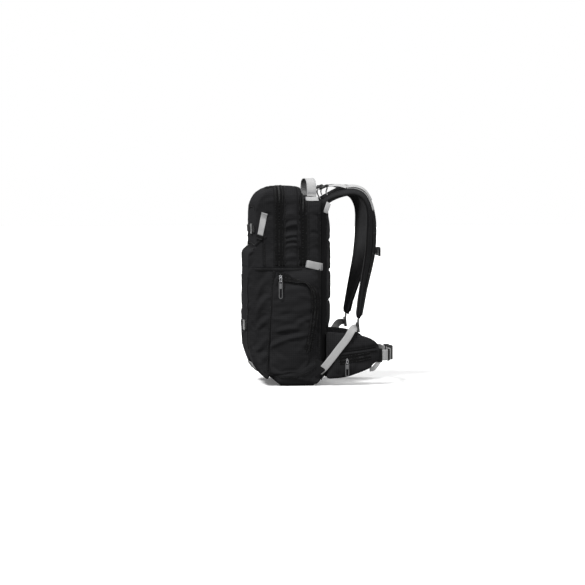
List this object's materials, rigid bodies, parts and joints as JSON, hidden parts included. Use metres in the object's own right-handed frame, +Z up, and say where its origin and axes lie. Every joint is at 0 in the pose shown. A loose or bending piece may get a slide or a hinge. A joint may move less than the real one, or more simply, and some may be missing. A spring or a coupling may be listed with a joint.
{
  "type": "ski backpack",
  "caption": "Framed ski backpack with tilting front flaps, side pockets, padded shoulder straps, hip belt and straps that carry a board upright.",
  "frame": {"origin": "middle of the flat base panel's underside", "axes": "+Z up, +Y towards the wearer's back, +X towards the wearer's right"},
  "size_m": [0.3036, 0.4169, 0.5711],
  "materials": {
    "ripstop": "black ripstop nylon",
    "air_mesh": "black spacer mesh",
    "lining": "grey nylon lining",
    "grey_webbing": "light grey ribbed webbing",
    "black_webbing": "black ribbed webbing",
    "acetal": "moulded black acetal",
    "zip_tape": "coil zip on woven tape",
    "frame_sheet": "moulded sheet",
    "aluminium": "satin"
  },
  "bodies": {
    "pack": {"main_shell": "ripstop", "front_pocket": "ripstop", "base_panel": "ripstop", "main_zip": "zip_tape", "frame_sheet": "frame_sheet", "frame_stay": "aluminium", "lumbar_pad": "air_mesh", "hydration_sleeve": "lining", "lower_board_strap": "black_webbing", "lower_buckle_female": "acetal", "base_board_strap": "grey_webbing", "back_pad_right": "air_mesh", "back_pad_left": "air_mesh", "side_pocket_right": "ripstop", "side_pocket_left": "ripstop", "side_zip_right": "zip_tape", "side_zip_left": "zip_tape", "upper_tab_right": "grey_webbing", "upper_tab_left": "grey_webbing", "side_tab_right": "grey_webbing", "side_tab_left": "grey_webbing", "lower_webbing_right": "grey_webbing", "lower_webbing_left": "grey_webbing"},
    "main_flap": {"main_flap": "ripstop", "front_zip": "zip_tape"},
    "front_flap": {"front_flap": "ripstop", "upper_board_strap": "black_webbing", "upper_buckle_female": "acetal", "flap_side_strap_right": "grey_webbing", "flap_side_strap_left": "grey_webbing"},
    "grab_handle": {"grab_handle": "grey_webbing"},
    "front_zip_slider": {"front_zip_slider": "acetal"},
    "main_zip_slider": {"main_zip_slider": "acetal"},
    "upper_buckle_male": {"upper_buckle_male": "acetal"},
    "lower_buckle_male": {"lower_buckle_male": "acetal"},
    "sternum_right": {"sternum_strap_right": "black_webbing"},
    "sternum_left": {"sternum_strap_left": "black_webbing"},
    "sternum_buckle_male": {"sternum_buckle_male": "acetal"},
    "belt_buckle_male": {"belt_buckle_male": "acetal"},
    "shoulder_strap_right": {"shoulder_strap_right": "ripstop", "load_lifter_right": "grey_webbing", "ladder_lock_right": "acetal"},
    "hip_wing_right": {"hip_wing_right": "ripstop", "hip_zip_right": "zip_tape", "belt_webbing_right": "grey_webbing", "belt_buckle_female": "acetal"},
    "side_zip_slider_right": {"side_zip_slider_right": "acetal"},
    "side_zip_pull_right": {"side_zip_pull_right": "acetal"},
    "hip_zip_slider_right": {"hip_zip_slider_right": "acetal"},
    "hip_zip_pull_right": {"hip_zip_pull_right": "acetal"},
    "shoulder_strap_left": {"shoulder_strap_left": "ripstop", "load_lifter_left": "grey_webbing", "ladder_lock_left": "acetal"},
    "hip_wing_left": {"hip_wing_left": "ripstop", "hip_zip_left": "zip_tape", "belt_webbing_left": "grey_webbing"},
    "side_zip_slider_left": {"side_zip_slider_left": "acetal"},
    "side_zip_pull_left": {"side_zip_pull_left": "acetal"},
    "hip_zip_slider_left": {"hip_zip_slider_left": "acetal"},
    "hip_zip_pull_left": {"hip_zip_pull_left": "acetal"}
  },
  "joints": [
    {"name": "main_flap_tilt", "type": "hinge", "parent": "pack", "child": "main_flap", "pos_m": [0, -0.114, 0.325], "axis": [1, 0, 0], "range_deg": [0, 50]},
    {"name": "front_flap_tilt", "type": "hinge", "parent": "main_flap", "child": "front_flap", "pos_m": [0, -0.114, 0.325], "axis": [1, 0, 0], "range_deg": [0, 100]},
    {"name": "grab_handle_rock", "type": "hinge", "parent": "pack", "child": "grab_handle", "pos_m": [0, 0.057, 0.525], "axis": [1, 0, 0], "range_deg": [0, 14]},
    {"name": "shoulder_strap_right_swing", "type": "hinge", "parent": "pack", "child": "shoulder_strap_right", "pos_m": [0.058, 0.086, 0.503], "axis": [1, 0, 0], "range_deg": [0, 22], "deforming": ["lower_webbing_right"]},
    {"name": "shoulder_strap_left_swing", "type": "hinge", "parent": "pack", "child": "shoulder_strap_left", "pos_m": [-0.058, 0.086, 0.503], "axis": [1, 0, 0], "range_deg": [0, 22], "deforming": ["lower_webbing_left"]},
    {"name": "sternum_right_height", "type": "slide", "parent": "shoulder_strap_right", "child": "sternum_right", "axis": [0, 0, 1], "range_m": [-0.03, 0.04]},
    {"name": "sternum_left_height", "type": "slide", "parent": "shoulder_strap_left", "child": "sternum_left", "axis": [0, 0, 1], "range_m": [-0.03, 0.04]},
    {"name": "sternum_buckle_release", "type": "slide", "parent": "sternum_left", "child": "sternum_buckle_male", "axis": [1, 0, 0], "range_m": [-0.018, 0]},
    {"name": "upper_buckle_release", "type": "slide", "parent": "front_flap", "child": "upper_buckle_male", "axis": [1, 0, 0], "range_m": [-0.02, 0]},
    {"name": "lower_buckle_release", "type": "slide", "parent": "pack", "child": "lower_buckle_male", "axis": [1, 0, 0], "range_m": [-0.02, 0]},
    {"name": "belt_buckle_insert", "type": "slide", "parent": "hip_wing_left", "child": "belt_buckle_male", "axis": [1, 0, 0], "range_m": [0, 0.027]},
    {"name": "hip_wing_right_swing", "type": "hinge", "parent": "pack", "child": "hip_wing_right", "pos_m": [0.138, 0.091, 0.078], "axis": [0, 0, -1], "range_deg": [0, 70]},
    {"name": "hip_wing_left_swing", "type": "hinge", "parent": "pack", "child": "hip_wing_left", "pos_m": [-0.138, 0.091, 0.078], "axis": [0, 0, 1], "range_deg": [0, 70]},
    {"name": "front_zip_slider_travel", "type": "slide", "parent": "main_flap", "child": "front_zip_slider", "axis": [0, 0, 1], "range_m": [0, 0.13]},
    {"name": "main_zip_slider_travel", "type": "slide", "parent": "pack", "child": "main_zip_slider", "axis": [0, 0, 1], "range_m": [0, 0.105]},
    {"name": "side_zip_slider_right_travel", "type": "slide", "parent": "pack", "child": "side_zip_slider_right", "axis": [0, 0.9765, -0.2156], "range_m": [0, 0.06]},
    {"name": "side_zip_pull_right_swing", "type": "hinge", "parent": "side_zip_slider_right", "child": "side_zip_pull_right", "pos_m": [0.15, -0.038, 0.3], "axis": [1, 0, 0], "range_deg": [-70, 70]},
    {"name": "hip_zip_slider_right_travel", "type": "slide", "parent": "hip_wing_right", "child": "hip_zip_slider_right", "axis": [0, 0.9888, 0.149], "range_m": [0, 0.04]},
    {"name": "hip_zip_pull_right_swing", "type": "hinge", "parent": "hip_zip_slider_right", "child": "hip_zip_pull_right", "pos_m": [0.148, 0.146, 0.071], "axis": [1, 0, 0], "range_deg": [-60, 60]},
    {"name": "side_zip_slider_left_travel", "type": "slide", "parent": "pack", "child": "side_zip_slider_left", "axis": [0, 0.9765, -0.2156], "range_m": [0, 0.06]},
    {"name": "side_zip_pull_left_swing", "type": "hinge", "parent": "side_zip_slider_left", "child": "side_zip_pull_left", "pos_m": [-0.15, -0.038, 0.3], "axis": [1, 0, 0], "range_deg": [-70, 70]},
    {"name": "hip_zip_slider_left_travel", "type": "slide", "parent": "hip_wing_left", "child": "hip_zip_slider_left", "axis": [0, 0.9888, 0.149], "range_m": [0, 0.04]},
    {"name": "hip_zip_pull_left_swing", "type": "hinge", "parent": "hip_zip_slider_left", "child": "hip_zip_pull_left", "pos_m": [-0.148, 0.146, 0.071], "axis": [1, 0, 0], "range_deg": [-60, 60]}
  ],
  "couplings": [
    {"joint": "shoulder_strap_left_swing", "follows": "shoulder_strap_right_swing", "ratio": 1},
    {"joint": "sternum_left_height", "follows": "sternum_right_height", "ratio": 1}
  ]
}
